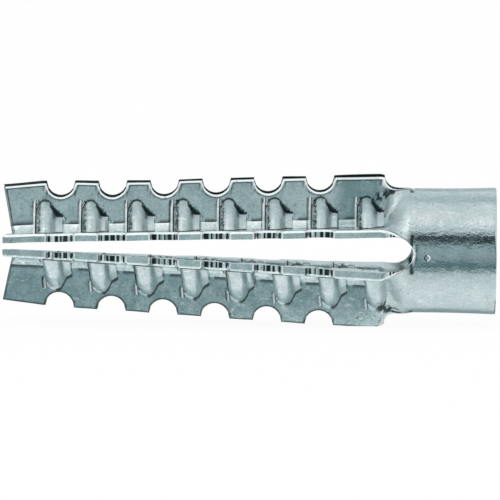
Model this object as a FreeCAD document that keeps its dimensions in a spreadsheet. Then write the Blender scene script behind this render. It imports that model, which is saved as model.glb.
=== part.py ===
"""Slit expansion anchor, rolled from one steel sheet.

A short round tube takes the screw. Behind it the sheet is slit into four legs. Each leg is folded
to an L whose corner lies near the axis, so its two wings stand outwards, and their edges carry
round notches between square teeth. Beads pressed outwards at the folds guide the screw's thread.

Millimetres. The axis is X, the tube's mouth is at X = 0 and faces +X, and the tip is at -X.
The first leg lies between -Y and +Z, and each next one a quarter turn about X further on.
"""
import FreeCAD, Part
import math
import os
import re
import Sketcher

Vector = FreeCAD.Vector
doc = FreeCAD.newDocument("anchor")

# Driving dimensions. The tube and the legs follow one another along the axis, from the mouth on.
SIZES = {
    "overall_length": 38.0,
    "sheet_thickness": 0.6,
    "tube_outer_diameter": 9.6,
    "tube_length": 6.6,
    "seam_gap": 0.1,
    "slot_end_from_mouth": 6.4,
    "shoulder_length": 2.4,
    "slot_inset": 0.02,
    # Gap between neighbouring legs, and the legs' L section
    "gap_at_root": 2.66,
    "gap_at_tip": 0.46,
    "fold_radius": 0.6,
    "wing_width_at_root": 4.44,
    "wing_width_at_nose": 4.25,
    "nose_length": 3.0,
    "nose_relief": 0.2,
    "trim_allowance": 0.1,
    "tip_dish_depth": 0.7,
    # Round notches between the teeth
    "notch_radius": 1.1,
    "notch_pitch": 4.0,
    "notch_count": 6,
    "first_notch_from_mouth": 13.6,
    "root_notch_from_mouth": 7.6,
    # Thread beads: a narrow rib beside the slit it was pressed out from, and a lower ledge
    "bead_pitch": 3.54,
    "bead_length": 2.1,
    "bead_end_wall": 0.45,
    "rib_width": 1.24,
    "rib_radius": 4.6,
    "rib_bevel": 0.4,
    "ledge_radius": 3.62,
    "groove_radius": 4.05,
    "groove_mouth_width": 0.75,
    "groove_crest_width": 0.12,
    "slit_width": 0.14,
    "slit_radius": 4.72,
    "last_slit_from_mouth": 11.0,
    "bead_end_from_tube": 1.2,
    "first_slit_from_tip": 1.6,
}

# Dimensions that follow from the driving ones
DERIVED = {
    "outer_radius": "tube_outer_diameter / 2",
    "bore_radius": "tube_outer_diameter / 2 - sheet_thickness",
    "root_from_mouth": "tube_length + shoulder_length",
    "leg_length": "overall_length - tube_length - shoulder_length",
    "half_gap": "gap_at_root / 2",
    "slot_radius": "gap_at_root / 2 - slot_inset",
    "taper": "(gap_at_root - gap_at_tip) / 2 / (overall_length - tube_length - shoulder_length)",
    "nose_from_root": "overall_length - nose_length - tube_length - shoulder_length",
    "wing_taper": "(wing_width_at_root - wing_width_at_nose) / nose_from_root",
    "reach_at_root": "gap_at_root / 2 + wing_width_at_root",
    "edge_slope": "taper + wing_taper",
    "reach_at_nose": "reach_at_root - edge_slope * nose_from_root",
    "nose_slope": "edge_slope + nose_relief / nose_length",
    "reach_at_tip": "reach_at_nose - nose_slope * nose_length",
    "ledge_bore_radius": "ledge_radius - sheet_thickness",
    "through_all": "tube_outer_diameter * 2",
}

sheet = doc.addObject("Spreadsheet::Sheet", "Sizes")
for row, (alias, content) in enumerate([*SIZES.items(), *DERIVED.items()], start=1):
    sheet.set("A%d" % row, alias)
    sheet.set("B%d" % row, "=" + content if alias in DERIVED else str(content))
    sheet.setAlias("B%d" % row, alias)
doc.recompute()


def size(formula):
    """The present value of a formula in the sheet's names."""
    return float(sheet.evalExpression(formula))


def in_sheet(formula):
    """The same formula as an object outside the sheet writes it."""
    def add_sheet(match):
        word = match.group(0)
        return "Sizes." + word if word in SIZES or word in DERIVED else word
    return re.sub(r"[a-z]\w*", add_sheet, formula)


def bind(obj, **formulas):
    """Bind properties to formulas. A double underscore stands for a dot in the property's name."""
    for name, formula in formulas.items():
        obj.setExpression(name.replace("__", "."), in_sheet(formula))


def add(kind, name, **values):
    """A new object of the document with its plain properties set."""
    obj = doc.addObject(kind, name)
    for key, value in values.items():
        setattr(obj, key, value)
    return obj


# Sketch planes. Across the axis, x runs outwards along -Y and y up. Along the axis, x is X and y up.
ACROSS = FreeCAD.Rotation(Vector(0, -1, 0), Vector(0, 0, 1), Vector(-1, 0, 0), "ZXY")
ALONG = FreeCAD.Rotation(Vector(1, 0, 0), Vector(0, 0, 1), Vector(0, -1, 0), "ZXY")
SKETCH_ORIGIN = (-1, 1)
START, END = 1, 2
LEFT, RIGHT = 1, -1


def new_sketch(name, plane, station="0"):
    sketch = add("Sketcher::SketchObject", name)
    sketch.Placement = FreeCAD.Placement(Vector(), plane)
    bind(sketch, Placement__Base__x=station)
    return sketch


def measure(sketch, name, kind, *items, formula):
    """Dimension a sketch and bind the dimension to its formula."""
    index = sketch.addConstraint(Sketcher.Constraint(kind, *items, size(formula)))
    sketch.renameConstraint(index, name)
    bind(sketch, **{"Constraints__" + name: formula})


def hold(sketch, name, edge, end, x, y):
    """Hold one point of an edge at its two distances from the sketch's origin."""
    for axis, formula in (("X", x), ("Y", y)):
        points = (*SKETCH_ORIGIN, edge, end)
        if size(formula) < 0:
            points = (edge, end, *SKETCH_ORIGIN)
            formula = "-(" + formula + ")"
        measure(sketch, name + "_" + axis.lower(), "Distance" + axis, *points, formula=formula)


def short_arc(start, end, radius, turn):
    """The arc of under half a turn between two points, bending left or right on its way."""
    if turn == RIGHT:
        start, end = end, start
    chord = end - start
    rise = math.sqrt(max(radius ** 2 - (chord.Length / 2) ** 2, 0.0))
    centre = (start + end) / 2 + Vector(-chord.y, chord.x, 0) * (rise / chord.Length)
    angles = [math.atan2(point.y - centre.y, point.x - centre.x) for point in (start, end)]
    if angles[1] < angles[0]:
        angles[1] += 2 * math.pi
    return Part.ArcOfCircle(Part.Circle(centre, Vector(0, 0, 1), radius), *angles)


def outline(name, plane, station, corners):
    """A closed sketch. A corner is (x, y), and (x, y, radius, turn) where an arc leads to the next."""
    sketch = new_sketch(name, plane, station)
    edges = []
    for corner, following in zip(corners, corners[1:] + corners[:1]):
        start, end = (Vector(size(point[0]), size(point[1]), 0) for point in (corner, following))
        if len(corner) == 2:
            edges.append((sketch.addGeometry(Part.LineSegment(start, end), False), START, END))
            continue
        radius, turn = corner[2:]
        edge = sketch.addGeometry(short_arc(start, end, size(radius), turn), False)
        edges.append((edge, START, END) if turn == LEFT else (edge, END, START))
    for (edge, _, last), (following, first, _) in zip(edges, edges[1:] + edges[:1]):
        sketch.addConstraint(Sketcher.Constraint("Coincident", edge, last, following, first))
    for number, (corner, (edge, first, _)) in enumerate(zip(corners, edges), start=1):
        hold(sketch, "corner_%d" % number, edge, first, *corner[:2])
        if len(corner) > 2:
            measure(sketch, "radius_%d" % number, "Radius", edge, formula=corner[2])
    return sketch


def leg_section(name, station, gap, wing):
    """A leg's L section: half the gap away from both neighbours, with wings of the given width."""
    face = gap
    back = gap + " + sheet_thickness"
    bend = gap + " + sheet_thickness + fold_radius"
    edge = gap + " + " + wing
    return outline(name, ACROSS, station, [
        (face, edge),
        (back, edge),
        (back, bend, "fold_radius", LEFT),
        (bend, back),
        (edge, back),
        (edge, face),
        (bend, face, "fold_radius + sheet_thickness", RIGHT),
        (face, bend),
    ])


def tube_quarter_section(name, station):
    """A quarter of the tube's ring, cut into as many edges as a leg's section."""
    near, far = 0.5, math.sqrt(0.75)
    bore = ["%s * bore_radius" % share for share in (near, far)]
    skin = ["%s * outer_radius" % share for share in (near, far)]
    return outline(name, ACROSS, station, [
        ("0", "bore_radius"),
        ("0", "outer_radius", "outer_radius", RIGHT),
        (skin[0], skin[1], "outer_radius", RIGHT),
        (skin[1], skin[0], "outer_radius", RIGHT),
        ("outer_radius", "0"),
        ("bore_radius", "0", "bore_radius", LEFT),
        (bore[1], bore[0], "bore_radius", LEFT),
        (bore[0], bore[1], "bore_radius", LEFT),
    ])


# Sections of the tube and of a leg. The wings are a little wide here: their teeth are cut later.
ring_section = tube_quarter_section("ring_section", "-tube_length")
leg_root_section = leg_section("leg_root_section", "-root_from_mouth", "half_gap",
                               "wing_width_at_root + trim_allowance")

# A bead in profile, from the slit that it starts at: the pressed metal, and the hollow behind it.
# X is measured from the slit towards the mouth, and y from the thread's axis.
bead_profile = outline("bead_profile", ALONG, "0", [
    ("-slit_width / 2", "ledge_bore_radius"),
    ("-slit_width / 2", "rib_radius - rib_bevel - slit_width / 2"),
    ("rib_bevel", "rib_radius"),
    ("rib_width - rib_bevel", "rib_radius"),
    ("rib_width", "rib_radius - rib_bevel"),
    ("rib_width", "ledge_radius"),
    ("bead_length", "ledge_radius"),
    ("bead_length", "ledge_bore_radius"),
])
hollow_profile = outline("hollow_profile", ALONG, "0", [
    ("-slit_width", "0"),
    ("-slit_width", "slit_radius"),
    ("0", "slit_radius"),
    ("0", "ledge_bore_radius"),
    ("(rib_width - groove_mouth_width) / 2", "ledge_bore_radius"),
    ("(rib_width - groove_crest_width) / 2", "groove_radius"),
    ("(rib_width + groove_crest_width) / 2", "groove_radius"),
    ("(rib_width + groove_mouth_width) / 2", "ledge_bore_radius"),
    ("bead_length - bead_end_wall", "ledge_bore_radius"),
    ("bead_length - bead_end_wall", "0"),
])

# What a leg's beads may fill: its own side of the gap, a little inside the faces of its wings
limit_corner = "half_gap + taper * shoulder_length + sheet_thickness / 6"
limit_edge = limit_corner + " + tube_outer_diameter"
bead_limit_section = outline("bead_limit_section", ACROSS, "-tube_length", [
    (limit_corner, limit_corner),
    (limit_corner, limit_edge),
    (limit_edge, limit_edge),
    (limit_edge, limit_corner),
])


def quarter_turn(obj, quarter):
    """Turn an object about the anchor's axis, by whole quarters."""
    obj.Placement = FreeCAD.Placement(Vector(), FreeCAD.Rotation(Vector(1, 0, 0), 90 * quarter))
    return obj


def along_leg(name, section, quarter, length):
    """Draw a section out along its leg, which slopes towards the axis on both sides."""
    drawn = add("Part::Extrusion", name, Base=section, Solid=True, DirMode="Custom",
                Dir=Vector(-1, 0, 0))
    bind(drawn, Dir__y="taper", Dir__z="-taper", LengthFwd=length + " * sqrt(1 + 2 * taper ^ 2)")
    return quarter_turn(drawn, quarter)


def bead_stations(quarter):
    """Distances from the mouth to the slits of one leg, a quarter pitch on from the leg before."""
    nearest = size("tube_length + bead_end_from_tube + bead_length")
    furthest = size("overall_length - first_slit_from_tip")
    step = 0
    stations = []
    while True:
        formula = "(last_slit_from_mouth + bead_pitch * %s)" % (step - quarter / 4)
        if size(formula) > furthest:
            return stations
        if size(formula) >= nearest:
            stations.append(formula)
        step += 1


def bead_ring(name, profile, quarter, station):
    """Sweep a bead's profile through its leg's quarter. Its centre follows the leg's slope."""
    ring = add("Part::Revolution", name, Source=profile, Axis=Vector(1, 0, 0), Angle=90.0, Solid=True)
    quarter_turn(ring, quarter)
    sink = "taper * (" + station + " - root_from_mouth)"
    side = "" if quarter in (0, 1) else "-"
    height = "" if quarter in (1, 2) else "-"
    bind(ring, Placement__Base__x="-" + station,
         Placement__Base__y=side + sink, Placement__Base__z=height + sink)
    return ring


def cut_all(base, cutters):
    """Cut each cutter in turn out of a blank."""
    blank = base.Name
    for cutter in cutters:
        base = add("Part::Cut", blank + "_less_" + cutter.Name, Base=base, Tool=cutter)
    return base


def make_leg(name, quarter, cutters):
    """One leg: its punched shoulder and strip, then its beads and the hollows behind them."""
    shoulder = add("Part::Loft", name + "_shoulder", Sections=[ring_section, leg_root_section],
                   Solid=True, Ruled=True)
    quarter_turn(shoulder, quarter)
    strip = along_leg(name + "_strip", leg_root_section, quarter, "leg_length")
    blank = add("Part::Fuse", name + "_blank", Base=shoulder, Tool=strip)
    punched = cut_all(blank, cutters)
    limit = along_leg(name + "_bead_limit", bead_limit_section, quarter, "overall_length")
    stations = bead_stations(quarter)
    rings = [bead_ring("%s_bead_%d" % (name, number), bead_profile, quarter, station)
             for number, station in enumerate(stations, start=1)]
    hollows = [bead_ring("%s_hollow_%d" % (name, number), hollow_profile, quarter, station)
               for number, station in enumerate(stations, start=1)]
    all_rings = add("Part::Compound", name + "_rings", Links=rings)
    beads = add("Part::Common", name + "_beads", Base=all_rings, Tool=limit)
    pressed = add("Part::Fuse", name + "_pressed", Base=punched, Tool=beads)
    all_hollows = add("Part::Compound", name + "_hollows", Links=hollows)
    return add("Part::Cut", name, Base=pressed, Tool=all_hollows)


def make_seam():
    """The fine gap where the sheet's two edges meet, at the back of the tube."""
    seam = add("Part::Box", "seam")
    bind(seam, Length="slot_end_from_mouth + slot_radius", Width="sheet_thickness * 2", Height="seam_gap",
         Placement__Base__x="-(slot_end_from_mouth + slot_radius / 2)",
         Placement__Base__y="outer_radius - sheet_thickness * 1.5", Placement__Base__z="-seam_gap / 2")
    return seam


def make_tube(cutters):
    """The round tube at the mouth, with the ends of the slots and the seam cut out of it."""
    along_axis = FreeCAD.Placement(Vector(), FreeCAD.Rotation(Vector(0, 1, 0), -90))
    skin = add("Part::Cylinder", "tube_skin", Placement=along_axis)
    bind(skin, Radius="outer_radius", Height="tube_length")
    bore = add("Part::Cylinder", "tube_bore", Placement=along_axis)
    bind(bore, Radius="bore_radius", Height="tube_length")
    ring = add("Part::Cut", "tube_ring", Base=skin, Tool=bore)
    return cut_all(ring, cutters)


def cut_through(name, profile, quarter):
    """A cutter that runs right through the anchor, square to the profile's plane."""
    cutter = add("Part::Extrusion", name, Base=profile, Solid=True, DirMode="Custom",
                 Dir=Vector(0, 1, 0), Symmetric=True)
    bind(cutter, LengthFwd="through_all")
    return quarter_turn(cutter, quarter)


def slot_outline():
    """The round-ended slot between two shoulders. It runs out to the tip just inside the legs' gap."""
    centre = "-(slot_end_from_mouth + slot_radius)"
    tip_height = "(gap_at_tip / 2 - slot_inset)"
    return outline("slot_outline", ALONG, "0", [
        (centre, "slot_radius", "slot_radius", RIGHT),
        ("-slot_end_from_mouth", "0", "slot_radius", RIGHT),
        (centre, "-slot_radius"),
        ("-root_from_mouth", "-slot_radius"),
        ("-overall_length", "-" + tip_height),
        ("-overall_length", tip_height),
        ("-root_from_mouth", "slot_radius"),
    ])


def teeth_outline():
    """What is cut away along one wing's edge: the notches, and all that lies beyond the teeth."""
    def corner(station, slope="edge_slope", start="root_from_mouth", reach="reach_at_root"):
        return "-(%s)" % station, "%s - %s * (%s - %s)" % (reach, slope, station, start)

    nose = "(root_from_mouth + nose_from_root)"
    beyond_tip = "overall_length + nose_length"
    corners = []
    stations = ["root_notch_from_mouth"]
    for step in range(int(size("notch_count"))):
        stations.append("(first_notch_from_mouth + notch_pitch * %d)" % step)
    for station in stations:
        near, far = corner(station + " - notch_radius"), corner(station + " + notch_radius")
        along, height = corner(station)
        corners.append((*near, "notch_radius", RIGHT))
        corners.append((along, height + " - notch_radius", "notch_radius", RIGHT))
        corners.append(far)
    corners.append(corner(nose))
    corners.append(corner(beyond_tip, "nose_slope", nose, "reach_at_nose"))
    corners.append(("-(" + beyond_tip + ")", "tube_outer_diameter"))
    corners.append(("-(root_notch_from_mouth - notch_radius)", "tube_outer_diameter"))
    return outline("teeth_outline", ALONG, "0", corners)


def make_tip_dish():
    """A shallow cone that leaves the tip's ends V-shaped, deepest at the folds."""
    dish = add("Part::Cone", "tip_dish", Radius1=0.0)
    dish.Placement = FreeCAD.Placement(Vector(), FreeCAD.Rotation(Vector(0, 1, 0), -90))
    bind(dish, Radius2="tube_outer_diameter",
         Height="tip_dish_depth * tube_outer_diameter / reach_at_tip",
         Placement__Base__x="-(overall_length - tip_dish_depth)")
    return dish


LEGS = ("front_top_leg", "front_bottom_leg", "back_bottom_leg", "back_top_leg")
WINGS = ("upper_wings", "front_wings", "lower_wings", "back_wings")
slot = slot_outline()
slots = [cut_through("side_slots", slot, 0), cut_through("upright_slots", slot, 1)]
teeth = teeth_outline()
edges = [cut_through(name + "_edge", teeth, quarter) for quarter, name in enumerate(WINGS)]
dish = make_tip_dish()
legs = []
for quarter, (name, edge, next_edge) in enumerate(zip(LEGS, edges, edges[1:] + edges[:1])):
    legs.append(make_leg(name, quarter, [*slots, edge, next_edge, dish]))
tube = make_tube([*slots, make_seam()])
body = add("Part::MultiFuse", "folded_sheet", Shapes=[tube, *legs])
body.Label = "anchor_body"
doc.recompute()

failed = [obj.Name for obj in doc.Objects if {"Invalid", "Error"} & set(obj.State)]
if failed:
    raise SystemExit("failed objects: " + ", ".join(failed))

sub_parts = [body]
os.makedirs("parts", exist_ok=True)
for sub_part in sub_parts:
    shape = sub_part.Shape
    if shape.isNull() or not shape.isValid() or len(shape.Solids) != 1:
        raise SystemExit("bad shape: " + sub_part.Label)
    box = shape.BoundBox
    print(sub_part.Label, "volume %.2f mm3" % shape.Volume, "faces", len(shape.Faces),
          "size %.2f x %.2f x %.2f mm" % (box.XLength, box.YLength, box.ZLength))
    shape.exportStep("parts/" + sub_part.Label + ".step")
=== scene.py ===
# %% [markdown]
# # A slit expansion anchor, folded from one steel sheet
#
# The real anchor starts as a flat blank of zinc plated steel. A press punches round notches along
# its edges, shears a slit beside each thread bead, pushes the beads out, and folds the blank into a
# short tube with four L-shaped legs. The same order works here: a flat grid is punched, slit and
# given its thickness, and only then is each point carried to its folded place. The sheet can't
# overlap itself that way, and the edges of the cuts keep the square look of sheared steel.

import bisect
import math

import bmesh
import bpy
from mathutils import Matrix, Vector, noise


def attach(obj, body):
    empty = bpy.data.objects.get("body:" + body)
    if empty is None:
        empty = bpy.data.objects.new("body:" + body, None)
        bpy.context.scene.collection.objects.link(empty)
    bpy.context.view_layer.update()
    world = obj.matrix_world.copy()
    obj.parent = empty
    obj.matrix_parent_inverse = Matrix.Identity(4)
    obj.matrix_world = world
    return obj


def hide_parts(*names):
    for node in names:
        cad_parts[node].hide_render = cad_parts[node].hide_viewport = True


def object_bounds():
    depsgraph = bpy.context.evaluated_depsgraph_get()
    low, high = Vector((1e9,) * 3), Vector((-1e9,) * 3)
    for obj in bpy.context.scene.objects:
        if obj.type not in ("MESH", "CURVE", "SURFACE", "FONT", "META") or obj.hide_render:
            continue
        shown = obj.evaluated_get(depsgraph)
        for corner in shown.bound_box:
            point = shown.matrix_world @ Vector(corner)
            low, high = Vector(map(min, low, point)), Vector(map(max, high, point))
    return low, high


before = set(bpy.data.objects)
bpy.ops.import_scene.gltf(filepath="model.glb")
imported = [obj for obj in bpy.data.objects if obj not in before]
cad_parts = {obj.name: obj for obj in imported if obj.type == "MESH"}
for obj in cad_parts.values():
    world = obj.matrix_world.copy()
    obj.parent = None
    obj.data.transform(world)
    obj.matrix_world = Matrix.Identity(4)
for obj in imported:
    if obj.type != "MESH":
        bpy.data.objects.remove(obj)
cad_low, cad_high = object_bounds()
MM = 0.001
LENGTH = (cad_high.x - cad_low.x) / MM
print("nodes", sorted(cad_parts), "length %.2f mm" % LENGTH)

# %% [markdown]
# ## Sizes of the sheet
#
# All sizes are millimetres. A station is a distance from the tube's mouth, and across is a distance
# from the middle of a strip, measured along the sheet. A strip is one quarter of the tube together
# with the leg that grows out of it. The blank gives each strip 8 mm, a little more than its share
# of the tube's girth, so that the legs lie side by side without touching.

# %% Driving sizes
THICKNESS = 0.6
TUBE_RADIUS = 4.8
SLOT_END = 6.4
SLOT_RADIUS = 1.31
SHOULDER_START = 6.3
LEG_ROOT = 9.0
GAP_ROOT = 1.33
GAP_TIP = 0.23
FOLD_INSIDE = 0.6
REACH_ROOT = 5.77
EDGE_SLOPE = 0.0452
NOSE_STATION = 35.0
NOSE_SLOPE = 0.112
NOTCH_RADIUS = 1.1
NOTCHES = [13.6 + 4.0 * number for number in range(6)]
TIP_DISH = 0.7

TAPER = (GAP_ROOT - GAP_TIP) / (LENGTH - LEG_ROOT)
FOLD_ARC = math.pi / 4 * (FOLD_INSIDE + THICKNESS / 2)
STRIP_HALF = 4.0
ROOT_HALF = REACH_ROOT - (GAP_ROOT + THICKNESS + FOLD_INSIDE) + FOLD_ARC
print("taper %.4f, half of the strip at the root %.3f mm" % (TAPER, ROOT_HALF))

# %% [markdown]
# ## The outline of a strip
#
# The edge of a strip is straight along its teeth and dips in round notches. At the root, the edge
# falls back into the round end of the slot between two legs. One function gives the edge at any
# station, and a second one gives the distance from any point to the nearest cut.

# %% Edge of a strip
SLOT_CENTRE = SLOT_END + SLOT_RADIUS
ROOT_DIP = 0.95
ROOT_ARC = ROOT_HALF - (STRIP_HALF - ROOT_DIP)
TOOTH_START = SLOT_CENTRE + ROOT_ARC
PAST_ROOT = 0.5


def half_gap(station):
    """Half of the gap between two neighbouring legs."""
    return GAP_ROOT - TAPER * (station - LEG_ROOT)


def tooth_line(station):
    """Half the width of a leg's strip along its teeth, on the flat sheet."""
    station = max(station, LEG_ROOT)
    reach = REACH_ROOT - EDGE_SLOPE * (min(station, NOSE_STATION) - LEG_ROOT)
    reach -= NOSE_SLOPE * max(station - NOSE_STATION, 0)
    return reach - half_gap(station) - THICKNESS - FOLD_INSIDE + FOLD_ARC


def circle(radius, offset):
    """Half the width of a circle, this far from its middle."""
    return math.sqrt(max(radius ** 2 - offset ** 2, 0))


def edge_at(station):
    """Half the width of a strip at a station, notches and slot taken off."""
    if station <= SLOT_END:
        return STRIP_HALF
    if station <= SLOT_CENTRE:
        return STRIP_HALF - ROOT_DIP / SLOT_RADIUS * circle(SLOT_RADIUS, SLOT_CENTRE - station)
    if station < TOOTH_START:
        return ROOT_HALF - circle(ROOT_ARC, station - SLOT_CENTRE)
    for notch in NOTCHES:
        if abs(station - notch) < NOTCH_RADIUS:
            return tooth_line(notch) - circle(NOTCH_RADIUS, station - notch)
    return tooth_line(station)


def nearest_notch(station):
    """Station of the nearest notch's middle."""
    return min(NOTCHES, key=lambda centre: abs(station - centre))


def to_cut(station, across):
    """Distance from a point of a strip to the nearest punched edge."""
    across = abs(across)
    found = [station, LENGTH - station]
    if station < SLOT_CENTRE:
        stretch = (STRIP_HALF - across) * SLOT_RADIUS / ROOT_DIP
        found.append(math.hypot(station - SLOT_CENTRE, stretch) - SLOT_RADIUS)
    elif station < TOOTH_START + PAST_ROOT:
        found.append(math.hypot(station - SLOT_CENTRE, ROOT_HALF - across) - ROOT_ARC)
    if station > TOOTH_START:
        found.append(tooth_line(station) - across)
        notch = nearest_notch(station)
        found.append(math.hypot(station - notch, tooth_line(notch) - across) - NOTCH_RADIUS)
    return max(min(found), 0)


print("teeth start at %.2f mm, tip strip is %.2f mm wide" % (TOOTH_START, 2 * tooth_line(LENGTH)))

# %% [markdown]
# ## The thread beads
#
# Beside every slit the sheet is pressed outwards: first a rounded rib, then a lower ledge. Their
# heights are radii about the screw's axis, because the screw's thread bears on them from inside. A
# leg leans towards the axis, so the circles' centre slides past the axis as the leg goes on. The
# upper legs have ribs with a steep back, and the lower legs have domes that fall away slowly. The
# slits of each leg are a quarter of the pitch further on, which makes the beads follow a screw.

# %% Bead profiles
# Each point is a distance from the slit towards the mouth, and the sheet's height there.
SLIT_WIDTH = 0.1
SLIT_REACH = 2.5
BEAD_PITCH = 3.54
FIRST_SLIT = 10.72
SLITS_FROM, SLITS_TO = 9.7, LENGTH - 1.6
RIB_SKIN = [(0, 4.05), (0.12, 4.28), (0.26, 4.46), (0.42, 4.58), (0.66, 4.63), (0.9, 4.56), (1.08, 4.4),
            (1.22, 4.18), (1.34, 3.93), (1.44, 3.7), (1.54, 3.62), (2.0, 3.6), (2.1, 2.6), (2.2, 0)]
DOME_SKIN = [(0, 4.2), (0.12, 4.4), (0.26, 4.55), (0.42, 4.64), (0.66, 4.69), (0.9, 4.64), (1.08, 4.52),
             (1.22, 4.36), (1.34, 4.18), (1.44, 4.0), (1.54, 3.84), (2.0, 3.6), (2.1, 2.6), (2.2, 0)]
RIB_BACK = [(0, 3.02), (0.24, 3.05), (0.56, 4.02), (0.8, 4.02), (1.12, 3.05), (1.6, 3.02), (1.72, 2.2),
            (1.8, 0)]


def slit_stations(leg):
    """Stations of one leg's slits. The legs go from front top down and round to back top."""
    first = FIRST_SLIT - BEAD_PITCH * leg / 4
    stations = [first + BEAD_PITCH * number for number in range(9)]
    return [station for station in stations if SLITS_FROM <= station <= SLITS_TO]


def along_profile(profile, distance):
    """Height of a bead profile at a distance from its slit, or 0 away from the bead."""
    if distance <= profile[0][0] - SLIT_WIDTH or distance >= profile[-1][0]:
        return 0
    distance = max(distance, profile[0][0])
    place = bisect.bisect_right([point[0] for point in profile], distance)
    (near, low), (far, high) = profile[place - 1], profile[min(place, len(profile) - 1)]
    share = (distance - near) / max(far - near, 1e-6)
    return low + (high - low) * share


for leg in range(4):
    print("leg", leg, "slits at", ["%.1f" % station for station in slit_stations(leg)])

# %% [markdown]
# ## Where the grid's lines go
#
# The blank is made of grids. Their columns stand on the stations where something changes, such as a
# notch, a slit or a bead's shoulder, and are filled in evenly between. Their rows crowd at the fold,
# under the beads and beside the cut edge, where the sheet bends most.

# %% Columns and rows
LEG_STEP = 0.27
TUBE_STEP = 0.22
TUBE_LINES = [0.05, 0.12, 0.2, 6.2, 6.3, 6.35]
CLOSEST = 0.062
ROUND_PARTS = 8
NOTCH_PARTS = 6
NEAR_EDGE = 2.55
BEAD_ROWS_START = 0.4
FOLD_ROWS, SLOPE_ROWS, BEAD_ROWS, EDGE_ROWS = 3, 3, 8, 2
RIM_STEPS = (0.3, 0.2, 0.12, 0.05, 0)
LIP_STEPS = (0.055, 0.11, 0.165, 0.22, 0.28)
FOLD_LINE = 0.08


def even(start, end, count):
    """Evenly spaced places from the start up to the end, which is left out."""
    return [start + (end - start) * part / count for part in range(count)]


def quarter(part, parts):
    """Angle after some of the equal parts of a quarter turn."""
    return part / parts * math.pi / 2


def fill(hard, soft, step):
    """Sorted stations: all the hard ones, soft ones not too near them, and even steps between."""
    lines = sorted(set(round(line, 5) for line in hard))
    for line in sorted(soft):
        place = bisect.bisect(lines, line)
        if min(abs(line - other) for other in lines[max(place - 1, 0):place + 1]) > CLOSEST:
            lines.insert(place, round(line, 5))
    filled = []
    for start, end in zip(lines, lines[1:]):
        filled += even(start, end, max(1, math.ceil((end - start) / step)))
    return filled + [lines[-1]]


def leg_columns(leg):
    """Stations of the columns of one leg's grid."""
    hard = [SLOT_END, SLOT_CENTRE, TOOTH_START, NOSE_STATION, LENGTH]
    soft = [LENGTH - rim for rim in RIM_STEPS]
    for part in range(1, ROUND_PARTS):
        soft.append(SLOT_CENTRE - SLOT_RADIUS * math.cos(quarter(part, ROUND_PARTS)))
        soft.append(SLOT_CENTRE + ROOT_ARC * math.sin(quarter(part, ROUND_PARTS)))
    for notch in NOTCHES:
        hard += [notch - NOTCH_RADIUS, notch + NOTCH_RADIUS]
        soft += [notch + NOTCH_RADIUS * math.sin(quarter(part, NOTCH_PARTS))
                 for part in range(1 - NOTCH_PARTS, NOTCH_PARTS)]
        soft += [notch + side * (NOTCH_RADIUS + rim) for side in (-1, 1) for rim in RIM_STEPS]
    for slit in slit_stations(leg):
        hard.append(slit)
        soft += [slit - SLIT_WIDTH / 2 - point[0] for point in RIB_SKIN[1:-1]]
        soft += [slit + SLIT_WIDTH / 2 + rim for rim in LIP_STEPS]
    hard = [line for line in hard if SLOT_END <= line <= LENGTH]
    soft = [line for line in soft if SLOT_END < line < LENGTH]
    return fill(hard, soft, LEG_STEP)


def rows_at(edge):
    """Places of the rows from the middle of a strip to its edge, where it is this wide."""
    rim = edge - RIM_STEPS[0]
    near = min(NEAR_EDGE, rim)
    start = FOLD_ARC + FOLD_LINE
    middle = start + (near - start) * BEAD_ROWS_START
    rows = even(0, FOLD_ARC, FOLD_ROWS) + [FOLD_ARC - FOLD_LINE, FOLD_ARC]
    rows += even(start, middle, SLOPE_ROWS) + even(middle, near, BEAD_ROWS) + even(near, rim, EDGE_ROWS)
    return rows + [edge - step for step in RIM_STEPS]


ROWS = 2 * (len(rows_at(STRIP_HALF)) - 1)
tube_columns = fill([0, SLOT_END], TUBE_LINES, TUBE_STEP)
print("rows", ROWS, "tube columns", len(tube_columns),
      "leg columns", [len(leg_columns(leg)) for leg in range(4)])

# %% [markdown]
# ## The flat blank
#
# Each grid comes from `create_grid`, and its points are then slid to the rows and columns above, so
# the outer row follows the notches. The legs' grids are joined to the tube's along one line only.

# %% Lay out the grids
blank = bmesh.new()
SAME_PLACE = 1e-4
# Strip 0 is the back top leg, and the strips go on over the top to the front and round below.
LEG_OF_STRIP = (3, 0, 1, 2)


def lay_grid(columns, strips, first_strip):
    """A grid over one or more strips, its rows and columns slid to their places."""
    count = ROWS * strips
    made = bmesh.ops.create_grid(blank, x_segments=len(columns) - 1, y_segments=count, size=1)["verts"]
    heights = {}
    for station in columns:
        half = rows_at(edge_at(station))
        heights[station] = [-row for row in reversed(half)] + half[1:]
    for vert in made:
        station = columns[round((vert.co.x + 1) / 2 * (len(columns) - 1))]
        row = round((vert.co.y + 1) / 2 * count)
        strip = min(row // ROWS, strips - 1)
        height = heights[station][row - strip * ROWS]
        vert.co = Vector((station, height + (strip + first_strip) * 2 * STRIP_HALF, 0))


lay_grid(tube_columns, 4, 0)
for strip, leg in enumerate(LEG_OF_STRIP):
    lay_grid(leg_columns(leg), 1, strip)
border = [vert for vert in blank.verts if abs(vert.co.x - SLOT_END) < SAME_PLACE]
bmesh.ops.remove_doubles(blank, verts=border, dist=10 * SAME_PLACE)
print("blank", len(blank.verts), "points", len(blank.faces), "faces")

# %% [markdown]
# ## Slits and thickness
#
# A slit is sheared, so no metal is lost: the mesh is split along one column and its two sides are
# drawn a little apart. Solidify then gives the sheet its second face and closes every cut edge.

# %% Shear the slits
def strip_of(vert):
    """The strip that a point of the blank is on, and its place across that strip."""
    strip = min(max(int((vert.co.y + STRIP_HALF) // (2 * STRIP_HALF)), 0), 3)
    return strip, vert.co.y - strip * 2 * STRIP_HALF


SLIT_ROWS = SLIT_REACH + 0.1


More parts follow.
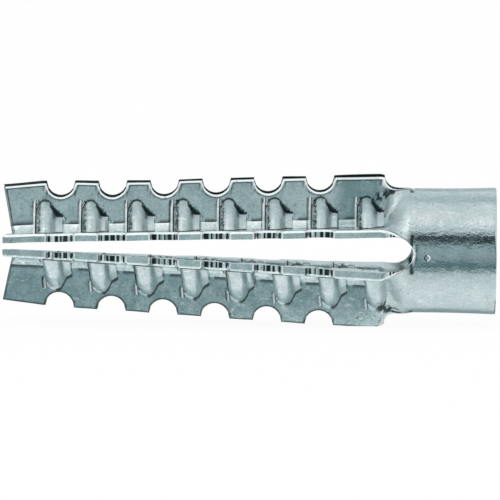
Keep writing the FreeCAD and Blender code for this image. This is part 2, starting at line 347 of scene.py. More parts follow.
def shear(strip, slit):
    """Split the blank along one slit and draw its two sides apart."""
    column = set()
    for vert in blank.verts:
        found, across = strip_of(vert)
        if found == strip and abs(vert.co.x - slit) < SAME_PLACE and abs(across) < SLIT_ROWS:
            column.add(vert)
    cut = {edge for vert in column for edge in vert.link_edges if edge.other_vert(vert) in column}
    sides = bmesh.ops.split_edges(blank, edges=list(cut))["edges"]
    for vert in {vert for edge in sides for vert in edge.verts}:
        if len(vert.link_faces) < 4:
            middle = sum(face.calc_center_median().x for face in vert.link_faces) / len(vert.link_faces)
            vert.co.x = slit + (1 if middle > slit else -1) * SLIT_WIDTH / 2


for strip, leg in enumerate(LEG_OF_STRIP):
    for slit in slit_stations(leg):
        shear(strip, slit)
print("after slitting", len(blank.verts), "points")

# %% Give the sheet its thickness
# The new face lies a thickness above or below the old one, which stays at height 0 as the outer skin.
bmesh.ops.recalc_face_normals(blank, faces=blank.faces)
bmesh.ops.solidify(blank, geom=blank.faces, thickness=THICKNESS)
levels = sorted({round(vert.co.z, 3) for vert in blank.verts})
print("thick sheet", len(blank.faces), "faces, levels", levels)

# %% [markdown]
# ## Fold and press
#
# Now each point is carried from the blank to the finished anchor. In the tube the strip is a quarter
# of a circle, and along the leg it is an L with a round corner. The shoulder blends one into the
# other. The sheet's two faces are worked out apart, so the wall stays whole at the tightest bends.
# Four small curves do all the blending: a soft step, its rise and its fall over a stretch, and a bell.

# %% Soft steps
def smooth(value):
    """A soft step from 0 to 1."""
    value = min(max(value, 0), 1)
    return value * value * (3 - 2 * value)


def rise(value, start, width):
    """Goes from 0 to 1 while the value goes from the start over the width."""
    return smooth((value - start) / width)


def fall(value, start, width):
    """Goes from 1 to 0 over the same stretch."""
    return 1 - rise(value, start, width)


def bell(value, middle, width):
    """Is 1 at the middle and fades on both sides."""
    return math.exp(-((value - middle) / width) ** 2)


print("half way up a step", rise(0.5, 0, 1), "and at the foot of a bell", round(bell(2, 0, 1), 3))

# %% One point of the folded strip
FLARE = 0.1
FLARE_LENGTH = 5
CORNER_FLATNESS = 0.7
# The next two hold one value for the upper legs and one for the lower legs.
FOOT_SOFTNESS = (0.006, 0.02)
FOOT_WIDTH = (0.17, 0.21)
FIRST_FOOT = (8.1, 0.4)


def ring_point(station, across, depth):
    """The strip as a quarter of the tube. The depth is 0 on the outer skin and 1 on the inner one."""
    angle = math.pi / 4 * (1 + across / STRIP_HALF)
    flare = FLARE * max(1 - station / FLARE_LENGTH, 0) ** 2
    radius = TUBE_RADIUS - THICKNESS * depth + flare
    return Vector((radius * math.cos(angle), radius * math.sin(angle)))


def leg_point(station, across, depth, bend=FOLD_INSIDE):
    """The strip as a leg: an L with its corner near the axis, rounded to the bend's radius."""
    corner = half_gap(station) + THICKNESS + bend
    arc = math.pi / 4 * (bend + THICKNESS / 2)
    across *= 1 - (1 - math.pi / 4) * (bend - FOLD_INSIDE) / STRIP_HALF
    if abs(across) < arc:
        radius = bend + THICKNESS * depth
        angle = math.radians(225 - 45 * across / arc)
        rounded = Vector((corner + radius * math.cos(angle), corner + radius * math.sin(angle)))
        share = (across / arc + 1) / 2
        flat = Vector((corner - radius * share, corner - radius * (1 - share)))
        return rounded.lerp(flat, CORNER_FLATNESS * (1 - depth))
    face = corner - bend - THICKNESS * depth
    along = corner + abs(across) - arc
    return Vector((face, along)) if across > 0 else Vector((along, face))


def press_out(spot, point):
    """Push a point outwards to the bead that it belongs to. Also gives how near the bead's foot is, where
    painted shade goes.
    """
    lower = not spot.top
    profile = (DOME_SKIN if lower else RIB_SKIN) if spot.outer else RIB_BACK
    sink = TAPER * (spot.station - LEG_ROOT)
    centre = Vector((-sink, -sink))
    for slit in slit_stations(LEG_OF_STRIP[spot.strip]):
        height = along_profile(profile, slit - SLIT_WIDTH / 2 - spot.station)
        if height:
            arm = point - centre
            radius = arm.length
            gap = radius - height
            pushed = (radius + height + math.sqrt(gap * gap + FOOT_SOFTNESS[lower])) / 2
            crease = bell(gap, 0, FOOT_WIDTH[lower]) * rise(spot.station, *FIRST_FOOT)
            return centre + arm * (pushed / radius), crease
    return point, 0


print("fold corner at the root", leg_point(LEG_ROOT, 0, 0))

# %% [markdown]
# ## Marks on the sheet
#
# The punch drags the sheet's outer edge down as it cuts, which leaves a small rounding along every
# outline. It matters for the look: it catches the bright line along the top of each tooth, which the
# finish also paints on as a highlight, with a thin dark line of painted shade behind it. A slit's far
# lip has a small burr as well, and its edge gets a painted highlight. The shape and the finish both
# depend on where a point is on the sheet, so each point is asked about its place once, and what it
# finds is kept as marks on the mesh for the finish to read.

# %% What a point knows of its place
EDGE_ROLL = 0.18
SMALL_ROLL = 0.06
NEAR_LIP = 0.6
PAST_BEAD = RIB_SKIN[-1][0] + 0.3
marks = {name: blank.verts.layers.float.new(name)
         for name in ("rim", "line", "crease", "notch", "pocket", "speck", "tube", "lip", "raised",
                      "upright", "shoulder", "dull", "corner")}


def slit_near(station, leg):
    """How far past a point the slit is whose bead or far lip the point may lie on."""
    for slit in slit_stations(leg):
        if -NEAR_LIP < slit - station < PAST_BEAD:
            return slit - station
    return None


class Spot:
    """The place of one point on the thick blank."""

    def __init__(self, vert):
        self.station = vert.co.x
        self.strip, self.across = strip_of(vert)
        self.off_fold = abs(self.across)
        self.outer = abs(vert.co.z) < THICKNESS / 2
        self.top = self.strip < 2
        # An upright wing stands straight up or down, and a hanging one does so below the axis.
        self.upright = (self.across > 0) == (self.strip in (0, 2))
        self.hanging = self.strip == 2 and self.across > 0 or self.strip == 3 and self.across < 0
        self.cut = to_cut(self.station, self.across)
        self.from_tip = LENGTH - self.station
        self.to_slit = slit_near(self.station, LEG_OF_STRIP[self.strip])
        # How far the strip has turned from tube to leg.
        self.leg_share = rise(self.station, SHOULDER_START, LEG_ROOT - SHOULDER_START)
        self.roll = SMALL_ROLL if self.hanging or self.station < 1 else EDGE_ROLL


print(len(marks), "marks on the mesh")

# %% Marks beside cuts
# Each pair is where a rise or a fall starts, or a bell's middle, and how wide it is.
# The bright marks are painted highlights on the cut edges, and the lines are painted shade beside them.
TOOTH_GLINT, SLOT_GLINT, LIP_GLINT = (0.1, 0.08), (0.12, 0.08), (0.06, 0.05)
SLOT_LINE, LIP_LINE, TIP_LINE = (0.27, 0.06), (0.22, 0.05), (0.08, 0.08)
HANGING_LINE, INNER_LINE, CREST_LINE = (0.04, 0.05), (0.25, 0.15), (0.045, 0.08)
LINE_BEHIND, LINE_WIDTH = 1.2, 0.05
LIP_CLEAR = (0.3, 0.2)
LIP_MIDDLE = (1.7, 0.8)
LIP_OUTER_HALF = (1.5, 0.25)
CREST_START = (8.6, 0.5)
TEETH_FROM = 7
LIP_WIDTH, LIP_NARROWING, LIP_FADE = 0.13, 0.8, 0.05
TOOTH_STRENGTH, TOOTH_FADE = 0.8, 0.1
BURR, BURR_WIDTH, BURR_END = 0.07, 0.17, 0.4


def lip_marks(spot, bright, line):
    """The painted highlight, painted shade line and burr of a cut edge, redone for a point near the far lip
    of a slit.
    """
    lip = max(-spot.to_slit - SLIT_WIDTH / 2, 0)
    burr = 0
    if lip < spot.cut:
        line = max(line * rise(lip, *LIP_CLEAR), bell(lip, *LIP_LINE))
        hump = math.sin(min(lip / BURR_WIDTH, 1) * math.pi)
        burr = BURR * hump * rise(SLIT_REACH, spot.off_fold, BURR_END)
    width = LIP_WIDTH * (1 - LIP_NARROWING * rise(spot.off_fold, *LIP_MIDDLE))
    bright = max(bright, fall(lip, width, LIP_FADE))
    if spot.hanging:
        outer_half = rise(spot.off_fold, *LIP_OUTER_HALF)
        return fall(lip, *LIP_GLINT) * outer_half, line * outer_half, burr * outer_half
    return bright, line, burr


def edge_marks(spot):
    """How bright a cut edge is painted as a highlight, how dark the painted shade line behind it is, and
    how high its burr is.
    """
    bright, burr = 0, 0
    line = bell(spot.cut, spot.roll * LINE_BEHIND, LINE_WIDTH) * (spot.station > SLOT_END)
    on_teeth = spot.top and spot.station > TEETH_FROM
    if on_teeth and spot.outer:
        bright = TOOTH_STRENGTH * fall(spot.cut, *TOOTH_GLINT) * rise(spot.from_tip, spot.cut, TOOTH_FADE)
    if SLOT_END - 0.5 < spot.station < LEG_ROOT and spot.outer:
        bright = max(bright, fall(spot.cut, *SLOT_GLINT))
        line = max(line, bell(spot.cut, *SLOT_LINE))
    if spot.hanging:
        line = max(line, fall(spot.cut, *HANGING_LINE))
    line = max(line, fall(spot.from_tip, *TIP_LINE))
    if spot.to_slit is not None and spot.to_slit < 0 and spot.off_fold < SLIT_REACH:
        bright, line, burr = lip_marks(spot, bright, line)
    crest = bell(spot.off_fold - FOLD_ARC, *CREST_LINE) * (spot.to_slit is None or spot.to_slit < -0.1)
    line = max(line, crest * rise(spot.station, *CREST_START)) * spot.outer
    if on_teeth and not spot.outer:
        line = fall(spot.cut, *INNER_LINE)
    return bright, line, burr


print("dark line behind a rolled edge, %.2f mm from the cut" % (EDGE_ROLL * LINE_BEHIND))

# %% Fold and press one point
SEAM_GAP = 0.1
SEAM_WIDTH = 0.6
WIDE_BEND = 2.6
SQUEEZE, SQUEEZE_FROM = 0.32, 2.5
SQUEEZE_START, SQUEEZE_END = (7, 1.5), (8.5, 1.1)
RAISED_HEIGHT, DOME_RAISED = 0.2, 0.6
BEADS_FROM, SLOT_TO = LEG_ROOT - 1.5, LEG_ROOT + 0.5
HANGING_CREASE = (0.4, 0.5)
POCKET_LOW, POCKET_TOP, POCKET_BEND = (2.8, 0.3), 4.35, 0.9
POCKET_SLOPE, POCKET_FADE = 0.85, 0.25
POCKET_START, POCKET_END = (1.0, 0.15), (2.0, 0.15)
SPECK_START, SPECK_END, SPECK_TOP = (0.06, 0.05), (0.4, 0.12), 4.3
STRAIN_START, STRAIN_END, STRAIN_LINE = (0.9, 0.15), (1.45, 0.5), (6.5, 0.19)


def on_strip(spot, burr):
    """A folded point, before the beads, as its distances along the directions of the two wings."""
    depth = 1
    if spot.outer:
        roll = spot.roll - circle(spot.roll, max(spot.roll - spot.cut, 0))
        depth = (roll - burr) / THICKNESS
    across = spot.across
    if spot.strip == 0:
        across += SEAM_GAP / 2 * rise(SEAM_WIDTH - spot.across, STRIP_HALF, SEAM_WIDTH)
    if spot.strip == 3:
        across -= SEAM_GAP / 2 * rise(SEAM_WIDTH + spot.across, STRIP_HALF, SEAM_WIDTH)
    if spot.strip == 2 and spot.across > SQUEEZE_FROM:
        across -= SQUEEZE * fall(spot.station, *SQUEEZE_END) * rise(spot.station, *SQUEEZE_START)
    point = ring_point(spot.station, across, depth)
    if spot.leg_share:
        bend = FOLD_INSIDE + WIDE_BEND * (1 - spot.leg_share) ** 2
        point = point.lerp(leg_point(spot.station, across, depth, bend), spot.leg_share)
    if SLOT_END < spot.station < SLOT_TO:
        opening = circle(SLOT_RADIUS, max(SLOT_CENTRE - spot.station, 0))
        point = Vector((max(point.x, opening), max(point.y, opening)))
    return point


def pocket_shade(distance, reach):
    """How deep a point of a wing lies in the painted cast shadow between a rib and the ledge beside it."""
    top = POCKET_TOP - max(distance - POCKET_BEND, 0) * POCKET_SLOPE
    inside = rise(top, reach, POCKET_FADE) * rise(reach, *POCKET_LOW)
    return inside * rise(distance, *POCKET_START) * fall(distance, *POCKET_END)


def pressed(spot, point):
    """Press a folded point out to its bead. Also gives the marks that the bead leaves on the sheet: painted
    shade at its foot, a painted shadow and dark painted speckles beside it, and how far it is raised.
    """
    shades = {"crease": 0, "pocket": 0, "speck": 0, "raised": 0}
    if spot.station > BEADS_FROM:
        reach = max(point.x, point.y) + TAPER * (spot.station - LEG_ROOT)
        flat_place = point
        point, crease = press_out(spot, point)
        pushed = (point - flat_place).length
        shades["raised"] = smooth(pushed / RAISED_HEIGHT) * (1 if spot.top else DOME_RAISED)
        if spot.outer:
            shades["crease"] = crease
        if spot.to_slit is not None and spot.outer:
            # The pocket beside an upper rib gets a painted cast shadow.
            shades["pocket"] = pocket_shade(spot.to_slit, reach) * spot.upright * (not spot.hanging)
            # Dark speckles of painted shade beside the slits of the upper legs.
            speck = rise(spot.to_slit, *SPECK_START) * fall(spot.to_slit, *SPECK_END)
            shades["speck"] = speck * (reach < SPECK_TOP) * spot.top
            if spot.hanging:
                shades["crease"] *= rise(spot.to_slit, *HANGING_CREASE)
    # A short dark line of painted shade across the strip near its edges, by the slot's end.
    from_side = STRIP_HALF - spot.off_fold
    strain_shade = rise(from_side, *STRAIN_START) * fall(from_side, *STRAIN_END)
    shades["crease"] = max(shades["crease"], strain_shade * bell(spot.station, *STRAIN_LINE))
    return point, shades


print("seam %.1f mm wide along the back" % SEAM_GAP)

# %% [markdown]
# A real anchor is never quite straight. The legs twist a little, the upper ones rise and the lower
# ones sag, one leg's beads lean, the tip is dished, and everything waves by a twentieth of a
# millimetre. The waves come from a noise that gives the same values on each run.

# %% Set the point in the anchor
# One value for each strip. The lift is only for the two upper ones.
SLANT = (0, 0, 0.09, 0)
SLIT_SHIFT = (0, 0, 0.23, 0)
LIFT = (0.36, 0.14)
PULL_END = (2.4, 0.8)
SLIT_LAG, LAG_END = 0.6, (1.4, 0.3)
TIP_LIFT, TIP_LIFT_START = 0.12, (0.7, 0.14)
SAG, SAG_ROOT = 0.3, 0.15
LIFT_REACH = 3
TWIST = math.radians(4.3)
TIP_BLEND = 1.5
WAVINESS = 0.05
WAVE_LENGTHS = (0.35, 0.3, 0.3)
WAVE_STEP = Vector((9.3, 1.5, 7.9))
# The painted shade of crumpled metal beside the front root teeth, along a line from one point to another in
# the side view.
CRUMPLES = {1: ((7.9, 4.8), (9.2, 4.15)), 2: ((7.6, -4.75), (8.8, -4.3))}
CRUMPLE_WIDTH, CRUMPLE_GRAIN = 0.44, 5
CRUMPLE_DEPTH, CRUMPLE_RAGGED = 0.8, 1.8
DULL_START, DULL_END, DULL_BELOW = (8.8, 0.6), (11.6, 1.4), 0.65
RIM_WIDTH, CORNER_WIDTH = 0.14, 0.07


def place_along(spot):
    """The point's final distance from the mouth."""
    place = spot.station
    if spot.hanging and spot.to_slit is not None and abs(spot.to_slit) < SLIT_WIDTH:
        place += spot.to_slit * SLIT_LAG * fall(spot.off_fold, *LAG_END)
    toward_tip = rise(spot.station - LENGTH, -TIP_BLEND, TIP_BLEND)
    place -= TIP_DISH * toward_tip * max(1 - spot.off_fold / tooth_line(LENGTH), 0)
    pulled = (SLIT_SHIFT[spot.strip] - SLANT[spot.strip] * spot.across) * fall(spot.off_fold, *PULL_END)
    return place + pulled * spot.leg_share * smooth(spot.from_tip / TIP_BLEND)


def turned(spot, point):
    """The point's distance behind and above the axis, with the leg's lift and twist."""
    turn = spot.strip * math.pi / 2
    side = point.x * math.cos(turn) - point.y * math.sin(turn)
    height = point.x * math.sin(turn) + point.y * math.cos(turn)
    along = max(spot.station - LEG_ROOT, 0) / (LENGTH - LEG_ROOT)
    if spot.top:
        lift = LIFT[spot.strip] * along + TIP_LIFT * rise(along, *TIP_LIFT_START)
        height += lift * smooth(height / LIFT_REACH)
    else:
        height += (SAG * along ** 2 - SAG_ROOT) * smooth(-height / LIFT_REACH) * spot.leg_share
    lean = TWIST * along
    return side + height * math.sin(lean), height - side * math.sin(lean)


def crumple_shade(spot, height):
    """How much painted shade a point of the front root teeth gets from their ragged crease."""
    if spot.strip not in CRUMPLES or not spot.upright or not spot.outer:
        return 0
    start, end = (Vector(point) for point in CRUMPLES[spot.strip])
    seen = Vector((spot.station, height))
    share = min(max((seen - start).dot(end - start) / (end - start).length_squared, 0), 1)
    ragged = noise.noise(Vector((spot.station * CRUMPLE_GRAIN, height * CRUMPLE_GRAIN, 0)))
    depth = smooth(CRUMPLE_DEPTH + ragged * CRUMPLE_RAGGED)
    return bell((seen - start.lerp(end, share)).length, 0, CRUMPLE_WIDTH) * depth


def dull_share(spot):
    """How much darker the front wings are made near their roots."""
    if not spot.upright or spot.strip not in CRUMPLES:
        return 0
    if spot.strip == 1:
        return rise(spot.station, *DULL_START) * fall(spot.station, *DULL_END)
    return DULL_BELOW * rise(spot.station, *DULL_START)


def fold(vert):
    """Carry one point of the thick blank to the folded anchor, and mark it for the finish."""
    spot = Spot(vert)
    bright, line, burr = edge_marks(spot)
    point, shades = pressed(spot, on_strip(spot, burr))
    side, height = turned(spot, point)
    shades["crease"] = max(shades["crease"], crumple_shade(spot, height))
    wave = Vector(share * size for share, size in zip(WAVE_LENGTHS, (spot.station, side, height)))
    side += WAVINESS * noise.noise(wave) * spot.leg_share
    height += WAVINESS * noise.noise(wave + WAVE_STEP) * spot.leg_share
    vert.co = Vector((-place_along(spot), side, height)) * MM
    from_notch = abs(spot.station - nearest_notch(spot.station))
    in_notch = spot.station < TOOTH_START or from_notch < NOTCH_RADIUS
    values = {"rim": fall(spot.cut, 0, RIM_WIDTH), "line": line, "lip": bright,
              "notch": float(in_notch), "upright": float(spot.upright),
              "corner": fall(abs(from_notch - NOTCH_RADIUS), 0, CORNER_WIDTH),
              "tube": 1 - spot.leg_share, "shoulder": 4 * spot.leg_share * (1 - spot.leg_share),
              "dull": dull_share(spot), **shades}
    for name, value in values.items():
        vert[marks[name]] = value


for vert in blank.verts:
    fold(vert)
print("folded", len(blank.verts), "points")

# %% [markdown]
# ## From points to a piece
#
# The skins are shaded smooth, and the walls of the cuts are left flat, so that every slit and notch
# keeps its crisp, square edge.

# %% Close the shape
ON_WALL = 0.96
SHARP_ANGLE = math.radians(40)
bmesh.ops.recalc_face_normals(blank, faces=blank.faces)
sheet_mesh = bpy.data.meshes.new("folded_sheet")
blank.to_mesh(sheet_mesh)
blank.free()
sheet_mesh.set_sharp_from_angle(angle=SHARP_ANGLE)
at_rim = [mark.value > ON_WALL for mark in sheet_mesh.attributes["rim"].data]
for polygon in sheet_mesh.polygons:
    polygon.use_smooth = not all(at_rim[corner] for corner in polygon.vertices)
folded_sheet = bpy.data.objects.new("folded_sheet", sheet_mesh)
bpy.context.scene.collection.objects.link(folded_sheet)
walls = sum(not polygon.use_smooth for polygon in sheet_mesh.polygons)
triangles = sum(len(polygon.vertices) - 2 for polygon in sheet_mesh.polygons)
print("folded sheet", triangles, "triangles,", walls, "flat wall faces")

# %% [markdown]
# ## The zinc finish
#
# Bright zinc plating is a grey metal with a cool cast. Tumbling with other anchors leaves it finely
# mottled, with short scratches. Painted shade darkens the sheet where the beads rise from it, and the
# cut edges get painted highlights. The walls of the notches are torn rather than cut, which shows as
# fine dark and bright stripes across them.

# %% A small class for shader maths
class Value:
    """A socket of a node tree that Python's operators work on."""

    def __init__(self, tree, socket):
        self.tree, self.socket = tree, socket

    @classmethod
    def node(cls, tree, kind, settings=None, inputs=None, output=0):
        """Add a node, set its settings, then give its sockets values or links."""
        made = tree.nodes.new("ShaderNode" + kind)
        for key, value in (settings or {}).items():
            if key == "ramp":
                elements = made.color_ramp.elements
                while len(elements) < len(value):
                    elements.new(0.5)
                for element, (place, colour) in zip(elements, value):
                    element.position, element.color = place, colour
            else:
                setattr(made, key, value)
        for key, value in (inputs or {}).items():
            if isinstance(value, Value):
                tree.links.new(value.socket, made.inputs[key])
            else:
                made.inputs[key].default_value = value
        return cls(tree, made.outputs[output] if made.outputs else None)

    def math(self, operation, first, second):
        return Value.node(self.tree, "Math", {"operation": operation}, {0: first, 1: second})

    def alone(self, operation):
        """A sum that needs no second value."""
        return Value.node(self.tree, "Math", {"operation": operation}, {0: self})

    def __add__(self, other):
        return self.math("ADD", self, other)

    def __sub__(self, other):
        return self.math("SUBTRACT", self, other)

    def __rsub__(self, other):
        return self.math("SUBTRACT", other, self)

    def __mul__(self, other):
        return self.math("MULTIPLY", self, other)

    def __gt__(self, other):
        return self.math("GREATER_THAN", self, other)

    __radd__ = __add__
    __rmul__ = __mul__

    def axis(self, number):
        """One of the three parts of a vector."""
        return Value.node(self.tree, "SeparateXYZ", None, {0: self}, output=number)

    def ramp(self, *stops):
        """A colour ramp through grey stops."""
        stops = [(place, (level, level, level, 1)) for place, level in stops]
        return Value.node(self.tree, "ValToRGB", {"ramp": stops}, {"Fac": self})

    def blend(self, first, second):
        """Blend of two colours, of which this is the second one's share."""
        return Value.node(self.tree, "Mix", {"data_type": "RGBA"}, {0: self, 6: first, 7: second}, output=2)

    def cover(self, first, second):
        """The same for two shaders."""
        return Value.node(self.tree, "MixShader", None, {0: self, 1: first, 2: second})


def emptied(owner):
    """Turn on the nodes of a material or world and clear them."""
    owner.use_nodes = True
    owner.node_tree.nodes.clear()
    return owner.node_tree


print("shader maths ready")

# %% Zinc plate
zinc = bpy.data.materials.new("zinc_plate_worn")
tree = emptied(zinc)
coordinates = Value.node(tree, "TexCoord", output="Object")


def speckle(scale, detail, roughness=0.6, stretch=(1, 1, 1)):
    """Noise on the piece's own coordinates, in metres."""
    place = Value.node(tree, "Mapping", None, {"Vector": coordinates, "Scale": stretch})
    return Value.node(tree, "TexNoise", None, {
        "Vector": place, "Scale": scale, "Detail": detail, "Roughness": roughness})


mark = {name: Value.node(tree, "Attribute", {"attribute_name": name}, output="Fac") for name in marks}
wall = mark["rim"] > ON_WALL
skin = 1 - wall
on_tube, raised, crease = mark["tube"], mark["raised"], mark["crease"]
mottle = speckle(900, 4)
grain = speckle(5200, 3, 0.7)
patches = speckle(260, 3)
flecks = speckle(3900, 1)
chatter = speckle(3000, 3, 0.6, (0.6, 1, 1))
streaks = speckle(1900, 1, 0.5, (1, 0.02, 0.02))
scratches = speckle(2600, 2, 0.5, (0.5, 1, 1.6)).ramp((0.64, 0), (0.68, 1))

# A small round dent beside the slot's end, painted only: a ring with a painted highlight on one side and
# painted shade on the other.
DENT = (-0.00534, -0.0048, -0.00025)
to_dent = Value.node(tree, "VectorMath", {"operation": "DISTANCE"}, {0: coordinates, 1: DENT},
                     output="Value")
painted_dent_ring = (to_dent * 1000).ramp((0.12, 0), (0.2, 1), (0.28, 0))
dent_lit_side = coordinates.axis(0) > DENT[0]

# Torn stripes: a sine along the sheet, shaken by streaks that run through its thickness.
TEAR_TURNS = 2 * math.pi / 0.0004
TEAR_SHAKE = 14
stripes = (coordinates.axis(0) * TEAR_TURNS + streaks * TEAR_SHAKE).alone("SINE")

PALE = (0.64, 0.70, 0.71, 1)
FLAT = (0.84, 0.90, 0.90, 1)
DULL = (0.36, 0.48, 0.49, 1)
# The dark colour serves real flecks and torn walls as well as painted shade, and the bright one serves
# scratches and torn walls as well as painted highlights.
DIRT_AND_SHADE = (0.012, 0.03, 0.034, 1)
RUBBED_AND_GLINT = (0.94, 0.99, 1.0, 1)
torn = wall * mark["notch"]
mottled = (mottle * 0.4 + patches * 0.15 + grain * 0.45).ramp((0.42, 0), (0.58, 1)) * 0.55
# The front wings are made darker near their roots.
root_darkening = mark["dull"] * skin * (1 - raised * 0.7) * 0.75
# Painted highlights, white and not metal: the cut edges and slit lips, the notch corners of the flat wings'
# walls, and the lit side of the dent ring.
lip = mark["lip"] * skin + painted_dent_ring * dent_lit_side + mark["corner"] * wall * (1 - mark["upright"]) * 0.9
# Painted shade where the beads rise from the sheet, in the crumples and along the short line by the slot's
# end.
crease_shade = (crease * 0.8 + grain * 0.25 - 0.1).ramp((0.3, 0), (0.6, 1))
# A painted cast shadow in the pocket beside each upper rib.
painted_pocket_shadow = (mark["pocket"] + (grain - 0.5) * 2.2).ramp((0.3, 0), (0.6, 1)) * mark["pocket"]
# Dark painted speckles of shade on the slit side of each upper rib.
painted_speck_shade = (mark["speck"] + (grain - 0.5) * 3).ramp((0.8, 0), (1.1, 1)) * mark["speck"]
# From the bare plate up: how much of each layer shows, and its colour.
LAYERS = [
    (mottled + root_darkening, DULL), (scratches * (0.55 - on_tube * 0.25), RUBBED_AND_GLINT),
    (crease_shade * 0.9, DIRT_AND_SHADE), (painted_pocket_shadow * 0.98, DIRT_AND_SHADE), (painted_speck_shade * 0.9, DIRT_AND_SHADE),
    # Thin lines of painted shade beside the cuts, then the painted highlights.
    (mark["line"] * skin * 0.92, DIRT_AND_SHADE), (lip, RUBBED_AND_GLINT),
    ((0 - stripes).ramp((0.6, 0), (0.9, 1)) * torn, RUBBED_AND_GLINT),
    (stripes.ramp((-0.1, 0), (0.15, 1)) * torn * 0.97, DIRT_AND_SHADE),
    # The cut walls of the upright wings are painted dark as shade, and so is the dent's far side.
    (mark["upright"] * wall * 0.9, DIRT_AND_SHADE), (painted_dent_ring * (1 - dent_lit_side), DIRT_AND_SHADE),
    (flecks.ramp((0.71, 0), (0.75, 1)) * skin * 0.5, DIRT_AND_SHADE)]
colour = ((1 - on_tube) * (1 - raised)).blend(PALE, FLAT)
for share, paint in LAYERS:
    colour = share.blend(colour, paint)

roughness = (0.14 - on_tube * 0.05 + grain * 0.12 + crease * 0.2 + lip * 0.3
             + mark["shoulder"] * 0.35 + raised * 0.2)
height = mottle * 0.5 + chatter * (0.4 + on_tube * 1.3) + grain * 0.7 + patches * 0.5 - scratches * 0.2
bump = Value.node(tree, "Bump", None, {"Strength": 0.5, "Distance": 0.00003, "Height": height})
plate = Value.node(tree, "BsdfPrincipled", None, {
    "Base Color": colour, "Metallic": 1 - lip, "Roughness": roughness, "Normal": bump})
Value.node(tree, "OutputMaterial", None, {"Surface": plate})
sheet_mesh.materials.append(zinc)
print("zinc plate", len(tree.nodes), "nodes")

# %% Attach the piece to the frame
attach(folded_sheet, "root")
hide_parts("anchor_body")
print("attached", folded_sheet.name)

# %% [markdown]
# ## Floor, light and camera
#
# The anchor lies alone on white. A metal shows what is around it, so the light is a white room with
# a darker band at eye level: flat upright faces turn mid grey, and faces that look up or down shine.
# The lower half of the tube mirrors the floor, so mirrored rays find darker cards on it, in front of
# the anchor. They give the tube its nearly black band and the grey below it.

# %% Floor
FLOOR_REACH = 2.0
floor_mesh = bpy.data.meshes.new("floor")
floor_shape = bmesh.new()
bmesh.ops.create_grid(floor_shape, x_segments=1, y_segments=1, size=FLOOR_REACH)
bmesh.ops.translate(floor_shape, verts=floor_shape.verts, vec=(cad_low.x / 2, 0, cad_low.z))
floor_shape.to_mesh(floor_mesh)
floor_shape.free()
floor = bpy.data.objects.new("floor", floor_mesh)
bpy.context.scene.collection.objects.link(floor)

# How dark the card is for mirrored rays. A place of 0.5 lies under the axis, and each millimetre
# towards the camera adds 0.01.
TUBE_CARD = [(0.44, 0), (0.46, 0.7), (0.50, 0.7), (0.513, 0.1), (0.54, 0), (0.5565, 0.06), (0.579, 0.24),
             (0.612, 0.38), (0.633, 0.98), (0.69, 0.98), (0.73, 0.64), (1.0, 0.74)]
LEGS_CARD = [(0.572, 0), (0.602, 0.64)]
paper = bpy.data.materials.new("white_paper")
tree = emptied(paper)
on_floor = Value.node(tree, "TexCoord", output="Object")
forward = 0.5 - on_floor.axis(1) * 10
before_tube = on_floor.axis(0) > -LEG_ROOT * MM
card_share = forward.ramp(*TUBE_CARD) * before_tube + forward.ramp(*LEGS_CARD) * (1 - before_tube)
camera_ray = Value.node(tree, "LightPath", output="Is Camera Ray")
glossy_ray = Value.node(tree, "LightPath", output="Is Glossy Ray")
matt = Value.node(tree, "BsdfDiffuse", None, {"Color": (0.9, 0.9, 0.9, 1)})
glow = Value.node(tree, "Emission", None, {"Color": (1, 1, 1, 1), "Strength": 1.0})
soft = Value.node(tree, "Emission", None, {"Color": (0.92, 0.97, 0.98, 1), "Strength": 1.1})
card = Value.node(tree, "Emission", None, {"Color": (0.01, 0.12, 0.14, 1), "Strength": 1.0})
seen_look = (camera_ray * 0.94).cover(matt, glow)
look = (glossy_ray * 0.92).cover(seen_look, card_share.cover(soft, card))
Value.node(tree, "OutputMaterial", None, {"Surface": look})
floor_mesh.materials.append(paper)
print("floor", len(tree.nodes), "nodes")

# %% Room light
world = bpy.data.worlds.new("studio")
bpy.context.scene.world = world
tree = emptied(world)
direction = Value.node(tree, "TexCoord", output="Generated")


def part_of(axis):
    """How far a direction points along one axis, either way."""
    return direction.axis(axis).alone("ABSOLUTE")


def rings(*stops):
    """Colours from all round the sides, at 0, to straight ahead or behind, at 1."""
    return Value.node(tree, "ValToRGB", {"ramp": stops}, {"Fac": part_of(1)})


WHITE = (1.0, 1.0, 1.0, 1)
BRIGHT = (0.88, 0.93, 0.95, 1)
PALE_GREY = (0.76, 0.84, 0.86, 1)
LIGHT_GREY = (0.66, 0.76, 0.78, 1)
SOFT_GREY = (0.62, 0.7, 0.71, 1)
MID_GREY = (0.5, 0.6, 0.62, 1)
COOL_GREY = (0.4, 0.52, 0.54, 1)
DEEP_GREY = (0.3, 0.36, 0.37, 1)
DARK = (0.02, 0.04, 0.045, 1)
BLACK = (0.008, 0.022, 0.026, 1)
before = rings((0.0, BRIGHT), (0.15, BRIGHT), (0.25, WHITE), (0.45, WHITE), (0.64, BRIGHT),
               (0.75, PALE_GREY), (0.82, MID_GREY), (0.843, BLACK), (0.945, BLACK),
               (0.962, COOL_GREY), (1.0, COOL_GREY))
behind = rings((0.0, BRIGHT), (0.2, BRIGHT), (0.33, MID_GREY), (0.5, LIGHT_GREY), (0.85, BRIGHT),
               (0.9, DEEP_GREY), (0.95, SOFT_GREY))
facing = (direction.axis(1) > 0).blend(before, behind)
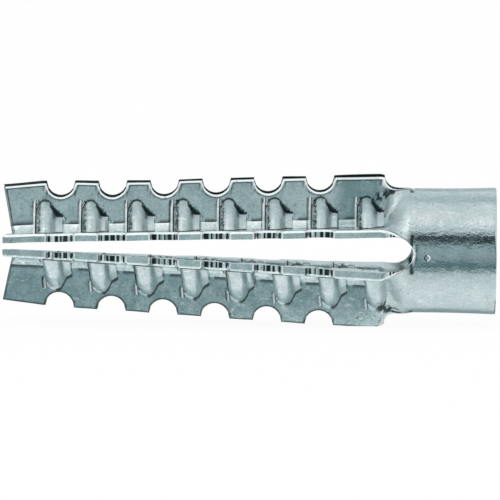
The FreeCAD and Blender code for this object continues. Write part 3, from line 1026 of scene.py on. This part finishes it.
# Dark posts stand on the mouth's side, at eye level.
posts = part_of(1).ramp((0.26, 0), (0.32, 1), (0.42, 1), (0.48, 0))
low = 1 - part_of(2).ramp((0.4, 0), (0.55, 1))
room = (posts * low * (direction.axis(0) > 0) * 0.45).blend(facing, DARK)
camera_ray = Value.node(tree, "LightPath", output="Is Camera Ray")
diffuse_ray = Value.node(tree, "LightPath", output="Is Diffuse Ray")
shown = (camera_ray + diffuse_ray).blend(room, WHITE)
backdrop = Value.node(tree, "Background", None, {"Color": shown, "Strength": 1.0})
Value.node(tree, "OutputWorld", None, {"Surface": backdrop})

lamp = bpy.data.lights.new("softbox_above", "AREA")
lamp.size, lamp.energy = 0.16, 0.05
softbox = bpy.data.objects.new("softbox_above", lamp)
softbox.location = (-0.12, -0.15, 0.2)
middle = Vector((cad_low.x / 2, 0, 0))
softbox.rotation_euler = (middle - softbox.location).to_track_quat("-Z", "Y").to_euler()
bpy.context.scene.collection.objects.link(softbox)
print("room", len(tree.nodes), "nodes and one softbox")

# %% Camera
PHOTO_PIXELS = 500
PIXELS_PER_MM = 12.95
FRAME_WIDTH = PHOTO_PIXELS / PIXELS_PER_MM * MM
SENSOR_WIDTH = 36
DISTANCE = 1.0
ELEVATION = math.radians(4.3)
ROLL = math.radians(0.6)
target = Vector((-18.96, 0, -0.12)) * MM
back = Vector((0, -math.cos(ELEVATION), math.sin(ELEVATION)))
lens = bpy.data.cameras.new("camera")
lens.sensor_width = SENSOR_WIDTH
lens.lens = SENSOR_WIDTH * DISTANCE / FRAME_WIDTH
camera = bpy.data.objects.new("camera", lens)
camera.location = target + back * DISTANCE
level_view = back.to_track_quat("Z", "Y").to_matrix()
camera.rotation_euler = (level_view @ Matrix.Rotation(ROLL, 3, "Z")).to_euler()
bpy.context.scene.collection.objects.link(camera)
bpy.context.scene.camera = camera
bpy.context.scene.view_settings.view_transform = "Standard"
print("camera %.1f mm lens, frame %.1f mm wide" % (lens.lens, FRAME_WIDTH / MM))
